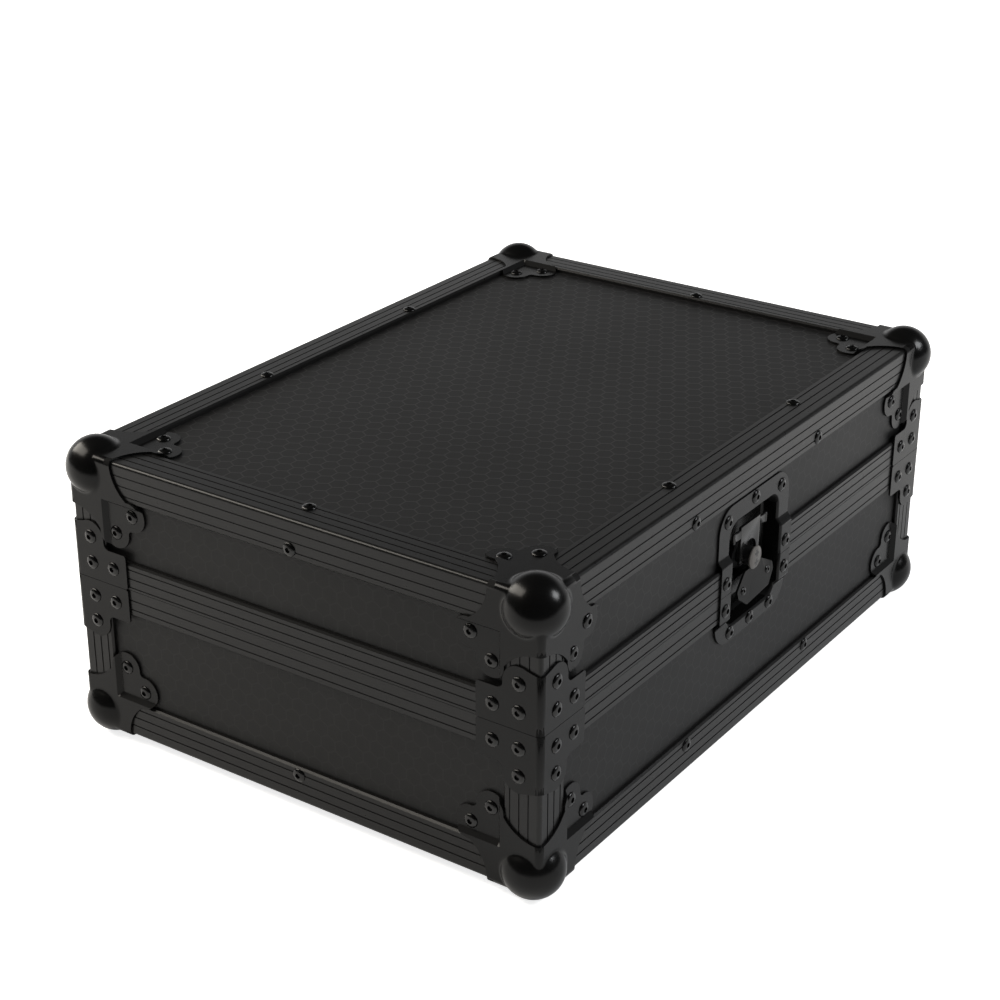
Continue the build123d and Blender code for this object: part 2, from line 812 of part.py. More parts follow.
with BuildPart() as latch_spindle:
    with Locations(latch_plane(-spindle_top, 0, boss_height)):
        Cylinder(
            spindle_radius,
            pocket_depth + latch_sheet - spindle_top,
            align=(Align.CENTER, Align.CENTER, Align.MAX),
        )
    with Locations(latch_plane(-pocket_depth - latch_sheet, 0, boss_height)):
        Cylinder(2 * spindle_radius, latch_sheet, align=(Align.CENTER, Align.CENTER, Align.MAX))
keep(latch_spindle.part, "latch_spindle")

with BuildPart() as latch_wing_pin:
    with BuildSketch(Plane.YZ.offset(-wing_half_width)):
        with Locations((wing_pivot_depth - half_depth, z_seam + boss_height)):
            Circle(wing_pin_radius)
    extrude(amount=2 * wing_half_width)
keep(latch_wing_pin.part, "latch_wing_pin")

with BuildPart() as latch_wing:
    wing_back = -wing_pivot_depth - wing_thickness / 2
    with BuildSketch(latch_plane(wing_back, 0, boss_height)):
        with Locations((0, wing_reach / 2)):
            Rectangle(2 * wing_half_width, wing_reach)
        fillet(vertices().group_by(Axis.Y)[-1], radius=wing_corner)
        Circle(wing_window_radius, mode=Mode.SUBTRACT)
        with Locations((0, wing_window_radius)):
            Rectangle(wing_slot_width, 2 * wing_slot_height, mode=Mode.SUBTRACT)
    extrude(amount=wing_thickness)
    ear_width = wing_half_width - wing_window_radius
    pivot_y = wing_pivot_depth - half_depth
    for start in (-wing_half_width, wing_window_radius):
        with BuildSketch(Plane.YZ.offset(start)):
            with Locations((pivot_y, z_seam + boss_height)):
                Circle(wing_ear_radius)
        extrude(amount=ear_width)
    with BuildSketch(Plane.YZ.offset(wing_corner - wing_half_width)):
        with Locations((pivot_y, z_seam + boss_height + wing_reach - wing_roll_radius)):
            Circle(wing_roll_radius)
    extrude(amount=2 * (wing_half_width - wing_corner))
    with BuildSketch(Plane.YZ.offset(-wing_half_width)):
        with Locations((pivot_y, z_seam + boss_height)):
            Circle(wing_pin_radius + running_fit)
    extrude(amount=2 * wing_half_width, mode=Mode.SUBTRACT)
keep(latch_wing.part, "latch_wing")

tilt = math.radians(catch_tilt)
lean = math.radians(catch_lean)
catch_foot = Vector(catch_offset, -half_depth - catch_foot_proud, z_seam - catch_foot_drop)
catch_up = Vector(0, math.sin(tilt), math.cos(tilt))
catch_out = Vector(0, -math.cos(tilt), math.sin(tilt))
catch_right = X_DIR * math.cos(lean) + catch_up * math.sin(lean)
CATCH = Plane(catch_foot, x_dir=catch_right, z_dir=catch_out)

with BuildPart() as latch_catch:
    with BuildSketch(CATCH.offset(-catch_thickness)):
        with BuildLine():
            Polyline(
                (-catch_foot_half_width, 0),
                (catch_foot_half_width, 0),
                (catch_half_width, catch_chamfer_height),
                (catch_half_width, catch_shoulder_height),
                (catch_top_half_width, catch_top_height),
                (-catch_top_half_width, catch_top_height),
                (-catch_half_width, catch_shoulder_height),
                (-catch_half_width, catch_chamfer_height),
                close=True,
            )
        make_face()
        fillet(vertices(), radius=catch_round)
    extrude(amount=catch_thickness)
    with BuildSketch(latch_plane(-pocket_depth, 0, boss_height)):
        Circle(boss_neck_radius + catch_notch_clearance)
        with Locations((0, boss_height)):
            Rectangle(2 * (boss_neck_radius + catch_notch_clearance), 2 * boss_height)
    extrude(amount=2 * pocket_depth, mode=Mode.SUBTRACT)
keep(latch_catch.part, "latch_catch")

# Rivets


def rivet_heads(seats, radius=rivet_radius, top=rivet_top_radius, height=rivet_height):
    with BuildPart() as heads:
        with Locations(*seats):
            Cone(radius, top, height, align=(Align.CENTER, Align.CENTER, Align.MIN))
    return heads.part


keep(
    rivet_heads(
        [
            Plane(CATCH.from_local_coords((side * catch_rivet_reach, catch_rivet_height, 0)), z_dir=catch_out)
            for side in (-1, 1)
        ],
        catch_rivet_radius,
        catch_rivet_top,
        catch_rivet_rise,
    ),
    "latch_catch_rivets",
)


def half_rivets(level, upward, end_face):
    """Rivet seats of the base or the lid: level is its closed end, upward points from there to the seam."""
    seats = []
    tab_level = corner_sheet - leg_thickness
    seam_side = seam_height if upward > 0 else seam_height + seam_gap
    for face, half_width in HALF_WIDTHS.items():
        for side in (-1, 1):
            for a, b in (corner_lobe, corner_lobe[::-1]):
                seats.append(face_plane(face, tab_level, side * (half_width - a), level + upward * b))
            for a, b in (
                (brace_rivet_in, brace_rivet_up),
                (brace_rivet_far, brace_rivet_up),
                (brace_rivet_in, brace_rivet_high),
            ):
                seats.append(face_plane(face, brace_sheet, side * (half_width - a), seam_side - upward * b))
        reach = (-edge_rivet_reach, edge_rivet_reach) if half_width == half_length else (0,)
        for across in reach:
            seats.append(face_plane(face, 0, across, level + upward * edge_rivet_inset))
    for side in (-1, 1):
        for end in (-1, 1):
            for a, b in (corner_lobe, corner_lobe[::-1]):
                seats.append(face_plane(end_face, tab_level, side * (half_length - a), end * (half_depth - b)))
            across = side * edge_rivet_reach
            seats.append(face_plane(end_face, 0, across, end * (half_depth - edge_rivet_inset)))
        seats.append(face_plane(end_face, 0, side * (half_length - edge_rivet_inset), 0))
    for middle in (-hinge_reach, hinge_reach):
        for across in (-hinge_rivet_reach, 0, hinge_rivet_reach):
            up = seam_side - upward * hinge_rivet_drop
            seats.append(face_plane("back", hinge_leaf_thickness, middle + across, up))
    return seats


def latch_rivets(places):
    """Rivets on the latch's rim, on the pressed part of the sheet that each one meets."""
    seats = []
    for across, up in places:
        joggled = up > upper_end or up < -lower_end
        seats.append(latch_plane(tab_proud if joggled else latch_sheet, across, up))
    return seats


handle_seats = [face_plane("right", tab_proud, across, handle_middle + up) for across, up in handle_rivets]
base_seats = half_rivets(0.0, 1, "bottom") + latch_rivets(lower_rivets) + handle_seats
lid_seats = half_rivets(case_height, -1, "top") + latch_rivets(upper_rivets)
keep(rivet_heads(base_seats), "base_rivets")
keep(rivet_heads(lid_seats), "lid_rivets")

# Back hinges

knuckle_width = hinge_width / hinge_knuckles
hinge_y = half_depth + hinge_axis_out
leaf_drop = hinge_leaf_height - hinge_knuckle_radius


def hinge_leaves(up, first_knuckle):
    """Both hinges' leaves on one side of the seam; up is +1 on the lid and -1 on the base."""
    seam = lid_seam if up > 0 else z_seam
    with BuildPart() as leaves:
        for middle in (-hinge_reach, hinge_reach):
            with BuildSketch(face_plane("back", 0, -middle, seam - z_bottom)):
                with Locations((0, up * (hinge_knuckle_radius + seat_gap + leaf_drop / 2))):
                    Rectangle(hinge_width, leaf_drop)
                far_corners = vertices().sort_by(Axis.Y)[-2:] if up > 0 else vertices().sort_by(Axis.Y)[:2]
                fillet(far_corners, radius=hinge_leaf_round)
            extrude(amount=hinge_leaf_thickness)
            for index in range(first_knuckle, hinge_knuckles, 2):
                start = middle - hinge_width / 2 + index * knuckle_width + hinge_play / 2
                leaf_root = z_seam + up * (hinge_knuckle_radius + 2 * seat_gap)
                with BuildSketch(Plane.YZ.offset(start)):
                    with BuildLine():
                        Polyline(
                            (half_depth, leaf_root),
                            (half_depth, z_seam + up * (hinge_knuckle_radius - hinge_leaf_thickness)),
                            (hinge_y, z_seam + up * (hinge_knuckle_radius - hinge_leaf_thickness)),
                            (hinge_y, z_seam + up * hinge_knuckle_radius),
                            (half_depth + hinge_leaf_thickness, leaf_root + up * hinge_leaf_thickness),
                            (half_depth, leaf_root + up * hinge_leaf_thickness),
                            close=True,
                        )
                    make_face()
                    with Locations((hinge_y, z_seam)):
                        Circle(hinge_knuckle_radius)
                        Circle(hinge_pin_radius + running_fit, mode=Mode.SUBTRACT)
                extrude(amount=knuckle_width - hinge_play)
    return leaves.part


keep(hinge_leaves(-1, 0), "hinge_base_leaves")
keep(hinge_leaves(1, 1), "hinge_lid_leaves")

with BuildPart() as hinge_pins:
    for middle in (-hinge_reach, hinge_reach):
        with BuildSketch(Plane.YZ.offset(middle - hinge_width / 2)):
            with Locations((hinge_y, z_seam)):
                Circle(hinge_pin_radius)
        extrude(amount=hinge_width)
keep(hinge_pins.part, "hinge_pins")

# Recessed handle

with BuildPart() as handle_dish:
    with BuildSketch(face_plane("right", -leg_thickness, 0, handle_middle)):
        RectangleRounded(handle_length, handle_height, handle_corner)
    extrude(amount=latch_sheet)
    with BuildSketch(face_plane("right", tab_proud, 0, handle_middle)):
        RectangleRounded(
            handle_pocket_length + 2 * latch_sheet,
            handle_pocket_height + 2 * latch_sheet,
            handle_pocket_corner + latch_sheet,
        )
    extrude(amount=-(handle_pocket_depth + latch_sheet + tab_proud))
    with BuildSketch(face_plane("right", tab_proud, 0, handle_middle)):
        RectangleRounded(handle_pocket_length, handle_pocket_height, handle_pocket_corner)
    extrude(amount=-(handle_pocket_depth + tab_proud), mode=Mode.SUBTRACT)
    dish_floor = faces().filter_by(lambda f: abs(f.center().X - half_length + handle_pocket_depth) < 0.01)
    fillet(dish_floor.edges(), radius=floor_round)
    pivot_x = half_length - handle_pivot_depth
    pivot_z = z_bottom + handle_middle + handle_pivot_rise
    with BuildSketch(Plane.XZ):
        with Locations((pivot_x, pivot_z)):
            Circle(handle_pin_radius)
    extrude(amount=half_depth / 2, both=True, mode=Mode.SUBTRACT)
keep(handle_dish.part, "handle_dish")

with BuildPart() as handle_pins:
    pin_end = handle_pocket_length / 2 + latch_sheet
    for side in (-1, 1):
        with BuildSketch(Plane.XZ.offset(side * pin_end)):
            with Locations((pivot_x, pivot_z)):
                Circle(handle_pin_radius)
        extrude(amount=-side * handle_pin_inset)
keep(handle_pins.part, "handle_pins")

with BuildPart() as handle_grip:
    grip_bottom = pivot_z - grip_drop
    bar_half = grip_half_length - grip_arm_radius
    sleeve_half = bar_half - grip_bend - grip_sleeve_gap
    with BuildSketch(Plane.XZ.offset(sleeve_half)):
        with Locations((pivot_x, grip_bottom)):
            Circle(grip_radius)
    extrude(amount=-2 * sleeve_half)
    with BuildLine() as bail:
        FilletPolyline(
            (pivot_x, -bar_half, pivot_z),
            (pivot_x, -bar_half, grip_bottom),
            (pivot_x, bar_half, grip_bottom),
            (pivot_x, bar_half, pivot_z),
            radius=grip_bend,
        )
    with BuildSketch(Plane((pivot_x, -bar_half, pivot_z))):
        Circle(grip_arm_radius)
    sweep(path=bail.wires()[0])
    for side in (-1, 1):
        with BuildSketch(Plane.XZ.offset(-side * bar_half)):
            with Locations((pivot_x, pivot_z)):
                Circle(grip_eye_radius)
        extrude(amount=grip_eye_half_width, both=True)
        with BuildSketch(Plane.XZ.offset(-side * bar_half)):
            with Locations((pivot_x, pivot_z)):
                Circle(handle_pin_radius + running_fit)
        extrude(amount=2 * grip_eye_half_width, both=True, mode=Mode.SUBTRACT)
keep(handle_grip.part, "handle_grip")

# Foam lining


def foam_pad(face):
    """A flat pad over the floor or under the lid, between the strips along the walls."""
    with BuildPart() as pad:
        with BuildSketch(face_plane(face, -foam_outer)):
            Rectangle(case_length - 2 * foam_inner, case_depth - 2 * foam_inner)
        extrude(amount=-foam_pad_thickness)
    return pad.part


def foam_walls(low, high, recesses):
    """Four strips along the walls, thinned where a dish bulges inwards."""
    with BuildPart() as walls:
        for face, half_width in HALF_WIDTHS.items():
            across = half_width - foam_outer
            if half_width == half_depth:
                across = half_width - foam_inner
            with BuildSketch(face_plane(face, -foam_outer, 0, (low + high) / 2)):
                Rectangle(2 * across, high - low)
            extrude(amount=-foam_thickness)
        for face, half_width, floor, ceiling, depth in recesses:
            with BuildSketch(face_plane(face, -foam_outer, 0, (floor + ceiling) / 2)):
                Rectangle(2 * half_width, ceiling - floor)
            extrude(amount=-(depth + foam_gap - foam_outer), mode=Mode.SUBTRACT)
    return walls.part


base_foam_high = seam_height - foam_seam_drop
lid_foam_low = seam_height + foam_seam_drop
lid_foam_high = case_height - foam_outer
latch_back = pocket_depth + 2 * latch_sheet
handle_back = handle_pocket_depth + latch_sheet
bowl_half = pocket_width / 2 + latch_hole_margin
handle_low = handle_middle - handle_pocket_height / 2 - latch_hole_margin
handle_high = handle_middle + handle_pocket_height / 2 + latch_hole_margin
base_recesses = (
    ("front", bowl_half, seam_height - pocket_bottom - latch_hole_margin, base_foam_high, latch_back),
    ("right", handle_pocket_length / 2 + latch_hole_margin, handle_low, handle_high, handle_back),
)
lid_recesses = (
    ("front", bowl_half, lid_foam_low, seam_height + pocket_top + latch_hole_margin, latch_back),
)
keep(foam_pad("bottom"), "foam_floor_pad")
keep(foam_pad("top"), "foam_lid_pad")
keep(foam_walls(foam_outer, base_foam_high, base_recesses), "foam_base_walls")
keep(foam_walls(lid_foam_low, lid_foam_high, lid_recesses), "foam_lid_walls")
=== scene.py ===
# %% [markdown]
# # A black flight case for a CD player
#
# The case is plywood faced with a hexagon film, held together by aluminium edge strips, pressed
# steel corners and pop rivets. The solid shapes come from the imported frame. This lesson dresses
# them: camera, light, finishes, small rounded edges, the rivets, the latch's boss and wing, and
# the foam lining.

# %% Load the frame
import math

import bmesh
import bpy
from mathutils import Matrix, Vector


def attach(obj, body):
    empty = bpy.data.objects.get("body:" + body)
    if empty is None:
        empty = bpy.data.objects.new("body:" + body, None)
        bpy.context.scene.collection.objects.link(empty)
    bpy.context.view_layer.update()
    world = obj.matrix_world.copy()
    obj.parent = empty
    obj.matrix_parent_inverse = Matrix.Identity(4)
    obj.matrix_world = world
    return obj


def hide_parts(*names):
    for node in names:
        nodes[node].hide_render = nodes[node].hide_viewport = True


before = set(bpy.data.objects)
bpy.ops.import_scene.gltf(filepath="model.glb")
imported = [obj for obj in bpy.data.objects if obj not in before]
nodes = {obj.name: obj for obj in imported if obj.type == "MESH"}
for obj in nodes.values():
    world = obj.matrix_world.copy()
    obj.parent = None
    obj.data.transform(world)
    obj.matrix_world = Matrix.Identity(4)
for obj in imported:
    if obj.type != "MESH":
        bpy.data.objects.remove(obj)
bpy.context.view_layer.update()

print("pieces in the frame:", len(nodes))

# %% [markdown]
# ## Camera
#
# A long lens a metre and a half away gives the mild perspective of a catalogue picture. The place
# and turn were found by matching the case's straight edges to the photograph.

# %% Place the camera
SENSOR = 36.0
LENS = 75.70
CAMERA_PLACE = Vector((-1.09622, -0.73523, 0.73404))
CAMERA_TURN = (65.0977, -0.1184, -55.3384)

bpy.ops.object.camera_add(location=CAMERA_PLACE, rotation=[math.radians(a) for a in CAMERA_TURN])
camera = bpy.context.object
camera.name = "camera"
camera.data.sensor_width = SENSOR
camera.data.lens = LENS
camera.data.dof.use_dof = False
bpy.context.scene.camera = camera
bpy.context.scene.view_settings.view_transform = "Standard"
print("camera is", round(CAMERA_PLACE.length, 2), "m from the middle of the floor")

# %% [markdown]
# ## Sums on shader sockets
#
# A pattern such as a honeycomb is a page of small sums. Written as Math nodes one by one it can't
# be read, so a small class wraps a socket and lets Python's own operators add the nodes.

# %% A socket that can be added and multiplied
class Value:
    def __init__(self, finish, socket):
        self.finish = finish
        self.socket = socket

    def maths(self, operation, *others):
        sockets = dict(enumerate((self, *others)))
        made = self.finish.node("ShaderNodeMath", {"operation": operation}, sockets)
        return Value(self.finish, made.outputs[0])

    def __add__(self, other):
        return self.maths("ADD", other)

    def __mul__(self, other):
        return self.maths("MULTIPLY", other)

    def __sub__(self, other):
        return self.maths("SUBTRACT", other)

    def __rsub__(self, other):
        return (self * -1.0).maths("ADD", other)

    def __truediv__(self, other):
        return self.maths("DIVIDE", other)

    def __abs__(self):
        return self.maths("ABSOLUTE")

    __radd__ = __add__
    __rmul__ = __mul__

    def mod(self, step):
        return self.maths("FLOORED_MODULO", step)

    def above(self, level):
        return self.maths("GREATER_THAN", level)

    def between(self, low, high):
        return self.above(low) * (1 - self.above(high))

    def at_least(self, other):
        return self.maths("MAXIMUM", other)

    def at_most(self, other):
        return self.maths("MINIMUM", other)


print("sums ready")

# %% [markdown]
# ## A finish
#
# Every finish starts as one Principled shader. One method adds any other node: its settings come
# first, because they can change which sockets it has, and then the values or links.

# %% The finish maker
class Finish:
    def __init__(self, name, **values):
        self.material = bpy.data.materials.new(name)
        self.material.use_nodes = True
        self.tree = self.material.node_tree
        self.shader = self.tree.nodes["Principled BSDF"]
        self.set(**values)

    def node(self, kind, settings=None, sockets=None):
        made = self.tree.nodes.new(kind)
        for key, value in (settings or {}).items():
            setattr(made, key, value)
        for key, value in (sockets or {}).items():
            self.plug(made.inputs[key], value)
        return made

    def plug(self, socket, value):
        if isinstance(value, Value):
            value = value.socket
        if isinstance(value, bpy.types.NodeSocket):
            self.tree.links.new(value, socket)
        else:
            socket.default_value = value

    def set(self, **values):
        for key, value in values.items():
            self.plug(self.shader.inputs[key.replace("_", " ")], value)

    def coordinate(self, kind):
        return self.node("ShaderNodeTexCoord").outputs[kind]

    def split(self, vector):
        """The three parts of a vector."""
        parts = self.node("ShaderNodeSeparateXYZ", None, {0: vector}).outputs
        return [Value(self, part) for part in parts]

    def place(self):
        """The three object coordinates, in metres."""
        return self.split(self.coordinate("Object"))

    def facing(self):
        """How much the surface faces along each axis, without its sign."""
        return [abs(part) for part in self.split(self.coordinate("Normal"))]

    def noise(self, scale, detail):
        sockets = {"Vector": self.coordinate("Object"), "Scale": scale, "Detail": detail}
        return Value(self, self.node("ShaderNodeTexNoise", None, sockets).outputs["Fac"])

    def smooth(self, value, low, high, to_low=0.0, to_high=1.0):
        sockets = {"Value": value, "From Min": low, "From Max": high}
        sockets.update({"To Min": to_low, "To Max": to_high})
        ramp = self.node("ShaderNodeMapRange", {"interpolation_type": "SMOOTHSTEP"}, sockets)
        return Value(self, ramp.outputs[0])

    def blend(self, factor, first, second):
        """Mixes two colours; a Mix node has sockets for other values too, hence the numbers."""
        sockets = {"Factor": factor, 6: first, 7: second}
        return self.node("ShaderNodeMix", {"data_type": "RGBA"}, sockets).outputs[2]

    def bump(self, height, distance):
        sockets = {"Height": height, "Distance": distance, "Strength": 1.0}
        self.set(Normal=self.node("ShaderNodeBump", None, sockets).outputs[0])


def grey(level, warmth=0.0):
    return (level * (1 + warmth), level, level * (1 - warmth), 1.0)


print("finish maker ready")

# %% [markdown]
# ## Studio
#
# The background is paper white, and so pale that the floor can't be told from it. The camera sees
# the world at full strength, while the light that falls on the case is weaker. What the balls and
# strips mirror is a third thing: white paper low down behind the case and a dark room elsewhere,
# which keeps the steel balls and the top edges black. The floor ends close in front of the case
# for the same reason. Two soft lamps do the rest: a cool one in front on the right, and a warm one
# behind on the left.

# %% White world, dark behind the camera
WORLD_LIGHT = 0.42
BACKDROP_SIDE = Vector((-CAMERA_PLACE.x, -CAMERA_PLACE.y, 0.0)).normalized()
PAPER_SIDES = (0.25, 0.75)
PAPER_TOP = (0.1, 0.62)
PAPER_GLOW = 0.86
DARK_SIDE = 0.02

world = bpy.data.worlds.new("studio")
bpy.context.scene.world = world
world.use_nodes = True
background = world.node_tree.nodes["Background"].inputs
# The world has no Principled shader, so only the other methods are used on its nodes.
studio = Finish.__new__(Finish)
studio.tree = world.node_tree
rays = studio.node("ShaderNodeLightPath").outputs
seen = Value(studio, rays["Is Camera Ray"]).at_least(Value(studio, rays["Is Transmission Ray"]))
mirrored = Value(studio, rays["Is Glossy Ray"])
direction = studio.coordinate("Generated")
behind = studio.node(
    "ShaderNodeVectorMath", {"operation": "DOT_PRODUCT"}, {0: direction, 1: BACKDROP_SIDE}
).outputs["Value"]
upward = studio.split(direction)[2]
paper = studio.smooth(behind, *PAPER_SIDES) * studio.smooth(upward, *PAPER_TOP, 1.0, 0.0)
backdrop = (paper * PAPER_GLOW).at_least(DARK_SIDE)
strength = WORLD_LIGHT + (1.0 - WORLD_LIGHT) * seen + mirrored * (backdrop - WORLD_LIGHT)
studio.plug(background["Strength"], strength)
studio.plug(background["Color"], grey(1.0))
print("world light:", WORLD_LIGHT)

# %% Pale floor
FLOOR_WIDTH = 12.0
FLOOR_BEHIND = 6.0
FLOOR_BEFORE = 0.75
FLOOR_COLOUR = grey(0.85)
FLOOR_GLOW = 0.75
MIRRORED_GLOW = 0.16

bpy.ops.mesh.primitive_plane_add(size=1.0)
floor = bpy.context.object
floor.name = "floor"
floor.scale = (FLOOR_BEHIND + FLOOR_BEFORE, FLOOR_WIDTH, 1.0)
floor.location = BACKDROP_SIDE * (FLOOR_BEHIND - FLOOR_BEFORE) / 2
floor.rotation_euler.z = math.atan2(BACKDROP_SIDE.y, BACKDROP_SIDE.x)
floor_finish = Finish("floor_paper", Base_Color=FLOOR_COLOUR, Roughness=0.9, Specular_IOR_Level=0.0)
floor_rays = floor_finish.node("ShaderNodeLightPath").outputs
glow = Value(floor_finish, floor_rays["Is Camera Ray"]) * FLOOR_GLOW
glow = glow + Value(floor_finish, floor_rays["Is Glossy Ray"]) * MIRRORED_GLOW
glow_colour = floor_finish.blend(glow, grey(0.0), grey(1.0))
floor_finish.set(Emission_Color=glow_colour, Emission_Strength=1.0)
floor.data.materials.append(floor_finish.material)
print("floor glow:", FLOOR_GLOW)

# %% Two soft lamps
LAMP_WIDTH = 0.75


def soft_lamp(name, start, end, power, colour):
    """A strip lamp from one point to another, turned to the middle of the case."""
    start, end = Vector(start), Vector(end)
    place = (start + end) / 2
    away = place.normalized()
    along = (end - start - away * (end - start).dot(away)).normalized()
    bpy.ops.object.light_add(type="AREA", location=place)
    lamp = bpy.context.object
    lamp.name = name
    lamp.rotation_euler = Matrix((along, away.cross(along), away)).transposed().to_euler()
    lamp.data.shape = "RECTANGLE"
    lamp.data.size, lamp.data.size_y = (end - start).length, LAMP_WIDTH
    lamp.data.energy = power
    lamp.data.color = colour
    return lamp


COOL, WARM = (0.96, 0.98, 1.0), (1.0, 0.94, 0.85)
front_lamp = soft_lamp("front_lamp", (0.50, -1.90, 1.20), (1.05, -1.55, 1.50), 29.0, COOL)
back_lamp = soft_lamp("back_lamp", (0.08, 1.95, 0.72), (-1.45, 0.95, 2.00), 46.0, WARM)
print("watts of the lamps:", front_lamp.data.energy, back_lamp.data.energy)

# %% [markdown]
# ## Hexagon film
#
# The boards are faced with a resin film whose honeycomb lines catch a little more light than the
# cells. That sheen is painted: besides a thin relief, the lines get a paler colour. Modelled lines
# would cost far too many faces for such a thin relief, so the pattern is worked out in the shader.
# How far a point lies from its cell's middle comes from two interleaved grids of middles: the
# nearer of the two wins. The pattern is read along the two axes that a board lies in, so no board
# needs unwrapping. On the upright boards the lines, and with them their painted sheen, are fainter.

# %% Film on the boards
HEX_PITCH = 0.0109
HEX_ROW = math.sqrt(3)
HEX_LINE = (0.43, 0.49)
UPRIGHT_FADE = 0.62
FILM_GRAIN = 900.0
FILM_PATCH = 7.0


def hexagon_distance(across, along):
    """From 0 in the middle of a cell to 0.5 at its edge."""
    half_row = HEX_ROW / 2

    def from_middle(p, q):
        p = abs(p.mod(HEX_ROW) - half_row)
        q = abs(q.mod(1.0) - 0.5)
        return q.at_least(q * 0.5 + p * half_row)

    return from_middle(across, along).at_most(from_middle(across + half_row, along + 0.5))


def hexagon_film():
    finish = Finish("hexagon_film", Specular_IOR_Level=0.22)
    x, y, z = finish.place()
    facing_x, facing_y, _ = finish.facing()
    end = facing_x.above(0.5)
    front = facing_y.above(0.5)
    across = (x * (1 - end) + z * end) / HEX_PITCH
    along = (y * (1 - front) + z * front) / HEX_PITCH
    line = finish.smooth(hexagon_distance(across, along), *HEX_LINE)
    # On the upright boards the lines are weakened: less painted sheen in the colour, and less
    # relief.
    line = line * (1 - UPRIGHT_FADE * end.at_least(front))
    grain = finish.noise(FILM_GRAIN, 2.0)
    patch = finish.noise(FILM_PATCH, 2.0)
    # Painted sheen: the lines' paler colour stands in for the light their relief catches.
    finish.set(
        Base_Color=finish.blend(line, grey(0.0050), grey(0.0115, 0.02)),
        Roughness=0.44 + patch * 0.10 - line * 0.08,
    )
    finish.bump(line * 0.5 + grain * 0.35, 0.00008)
    return finish.material


laminate_finish = hexagon_film()
print("a cell of the film is", round(HEX_PITCH * 1000, 1), "mm wide")

# %% [markdown]
# ## Black metal, rubber and foam
#
# The strips are anodised aluminium: fine drawing marks, an even gloss. The steel fittings carry a
# thin coat whose grey drifts a little and whose skin is slightly uneven, and with other numbers the
# same recipe gives the grip's rubber and the foam. Places that stay matt are found by how much the
# surface faces up: the sawn ends of the seam strips slope, and so do the steps of the corner tabs.

# %% Drawn aluminium
DRAWN_MARKS = 260.0
SAWN_SLOPE = (0.4, 0.9)


def anodised_aluminium(name, sawn=0.0):
    """Drawn strips; sawn is how much rougher their sloped ends are."""
    finish = Finish(name, Specular_IOR_Level=0.26)
    drawn = finish.noise(DRAWN_MARKS, 3.0)
    slope = finish.facing()[2].between(*SAWN_SLOPE)
    finish.set(
        Base_Color=finish.blend(drawn, grey(0.0040), grey(0.0065, 0.02)),
        Roughness=0.25 + drawn * 0.08 + slope * sawn,
    )
    finish.bump(drawn, 0.00002)
    return finish.material


edge_finish = anodised_aluminium("black_anodised_aluminium")
seam_finish = anodised_aluminium("sawn_black_aluminium", 0.6)
print("aluminium:", edge_finish.name, seam_finish.name)

# %% Coats
COAT_CLOUDS = 60.0
COAT_SKIN = 1400.0


def coat(name, low, high, roughness, specular, peel=0.00002):
    """A coat between two greys; peel is how deep its skin is, in metres."""
    finish = Finish(name, Specular_IOR_Level=specular)
    cloud = finish.noise(COAT_CLOUDS, 3.0)
    skin = finish.noise(COAT_SKIN, 2.0)
    finish.set(
        Base_Color=finish.blend(cloud, grey(low), grey(high)),
        Roughness=roughness - 0.03 + cloud * 0.06,
    )
    finish.bump(skin, peel)
    return finish.material


catch_finish = coat("matt_black_catch", 0.003, 0.006, 0.34, 0.11)
print("coat:", catch_finish.name)

# %% Corner steel
BALL_PLACE = (0.2380, 0.1675, 0.08625)
CASE_MIDDLE = 0.10605
BALL_REACH = 0.026
TAB_STEP = (0.2, 0.97)


def pressed_corner_steel():
    """Smooth black balls; the steep steps of the pressed tabs stay matt."""
    finish = Finish("black_corner_steel", Specular_IOR_Level=0.18)
    x, y, z = finish.place()
    cloud = finish.noise(COAT_CLOUDS, 3.0)
    skin = finish.noise(COAT_SKIN, 2.0)
    # The eight balls lie alike about the case's middle, so one distance serves them all.
    gaps = [abs(part) - at for part, at in zip((x, y, z - CASE_MIDDLE), BALL_PLACE)]
    off_the_ball = sum(gap * gap for gap in gaps).above(BALL_REACH**2)
    step = off_the_ball * finish.facing()[2].between(*TAB_STEP)
    finish.set(
        Base_Color=finish.blend(cloud, grey(0.002), grey(0.004)),
        Roughness=0.20 + cloud * 0.06 + step * 0.6,
    )
    finish.bump(skin, 0.00002)
    return finish.material


FINISHES = {
    "laminate": laminate_finish,
    "extrusion": edge_finish,
    "corner_steel": pressed_corner_steel(),
    "rivet": coat("black_rivet", 0.001, 0.002, 0.24, 0.4),
    "grip": coat("black_grip_rubber", 0.018, 0.024, 0.55, 0.3, 0.0001),
    "bright_steel": coat("dull_zinc_steel", 0.05, 0.09, 0.30, 0.6),
    "wing_steel": coat("black_latch_steel", 0.006, 0.010, 0.19, 0.35),
    "foam": coat("grey_foam", 0.02, 0.03, 0.9, 0.1, 0.0006),
}
print("slots with a finish:", len(FINISHES))

# %% [markdown]
# ## Finishes and softened edges on the solids
#
# A real edge is never razor sharp: it is rounded by a few tenths of a millimetre, and that is what
# catches the light. The solids arrive as loose triangles, so a Weld comes before the Bevel. Only
# the pressed fittings are softened. Boards and drawn strips look right as they come.

# %% Dress the solids
EDGE_ROUND = 0.00035
EDGE_ANGLE = math.radians(35)
SAME_PLACE = 0.000001
ROUNDED = ("corner", "brace", "dish", "catch", "leaves")


def soften(piece):
    weld = piece.modifiers.new("weld", "WELD")
    weld.merge_threshold = SAME_PLACE
    bevel = piece.modifiers.new("bevel", "BEVEL")
    bevel.width = EDGE_ROUND
    bevel.segments = 2
    bevel.limit_method = "ANGLE"
    bevel.angle_limit = EDGE_ANGLE
    bevel.use_clamp_overlap = True
    bevel.harden_normals = True


def finish_for(name, slot):
    if name.endswith("_seam"):
        return seam_finish
    if name == "latch_catch":
        return catch_finish
    return FINISHES[slot.material.name.split(".")[0]]


